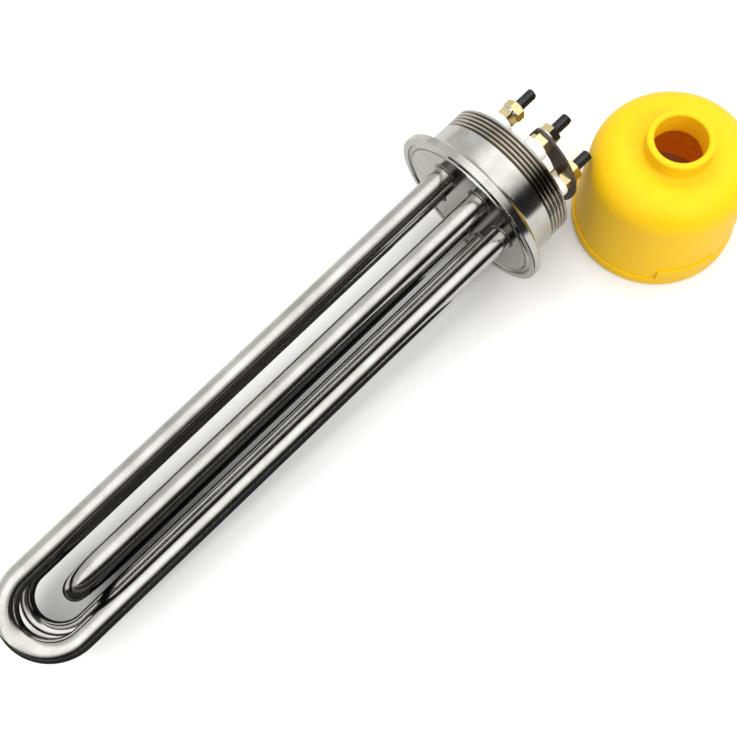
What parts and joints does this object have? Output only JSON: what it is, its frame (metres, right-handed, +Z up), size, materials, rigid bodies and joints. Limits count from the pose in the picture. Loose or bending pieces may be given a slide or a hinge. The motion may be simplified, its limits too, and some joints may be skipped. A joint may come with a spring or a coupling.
{
  "type": "flange immersion heater",
  "caption": "Immersion heater with hairpin tubes welded into a clamp ferrule with a threaded collar, stud terminals, and its unscrewed moulded terminal cap standing beside it.",
  "frame": {"origin": "on the bench, below the middle of the whole's bounding box", "axes": "+Z up from the bench, +X along the heater from its bends towards its terminals, which rise by about 4 degrees as it lies"},
  "size_m": [0.2985, 0.1002, 0.0641],
  "materials": {
    "stainless": "turned and drawn, bright",
    "magnesia": "packed powder",
    "coil_wire": "wound wire",
    "stud_black": "black oxide, satin",
    "ceramic": "white, smooth",
    "nut_brass": "bright",
    "washer_steel": "zinc plated",
    "link_brown": "brown, satin",
    "cap_yellow": "moulded, satin"
  },
  "bodies": {
    "heater": {"flange_body": "stainless", "sheath_front": "stainless", "magnesia_front": "magnesia", "coil_front": "coil_wire", "sheath_rear": "stainless", "magnesia_rear": "magnesia", "coil_rear": "coil_wire", "sheath_cross": "stainless", "magnesia_cross": "magnesia", "coil_cross": "coil_wire", "stud_front_upper": "stud_black", "bush_front_upper": "ceramic", "lower_nut_front_upper": "nut_brass", "spring_washer_front_upper": "washer_steel", "upper_nut_front_upper": "nut_brass", "stud_cross_front": "stud_black", "bush_cross_front": "ceramic", "lower_nut_cross_front": "nut_brass", "flat_washer_cross_front": "washer_steel", "upper_nut_cross_front": "nut_brass", "stud_front_lower": "stud_black", "bush_front_lower": "ceramic", "lower_nut_front_lower": "nut_brass", "flat_washer_front_lower": "washer_steel", "upper_nut_front_lower": "nut_brass", "stud_rear_lower": "stud_black", "bush_rear_lower": "ceramic", "lower_nut_rear_lower": "nut_brass", "flat_washer_rear_lower": "washer_steel", "upper_nut_rear_lower": "nut_brass", "stud_cross_rear": "stud_black", "bush_cross_rear": "ceramic", "lower_nut_cross_rear": "nut_brass", "spring_washer_cross_rear": "washer_steel", "upper_nut_cross_rear": "nut_brass", "stud_rear_upper": "stud_black", "bush_rear_upper": "ceramic", "lower_nut_rear_upper": "nut_brass", "spring_washer_rear_upper": "washer_steel", "upper_nut_rear_upper": "nut_brass", "star_link": "link_brown"},
    "cap": {"terminal_cap": "cap_yellow"}
  },
  "joints": [
    {"name": "cap_lift", "type": "slide", "parent": "heater", "child": "cap", "axis": [0.328, -0.3774, 0.866], "range_m": [0, 0.07]}
  ]
}
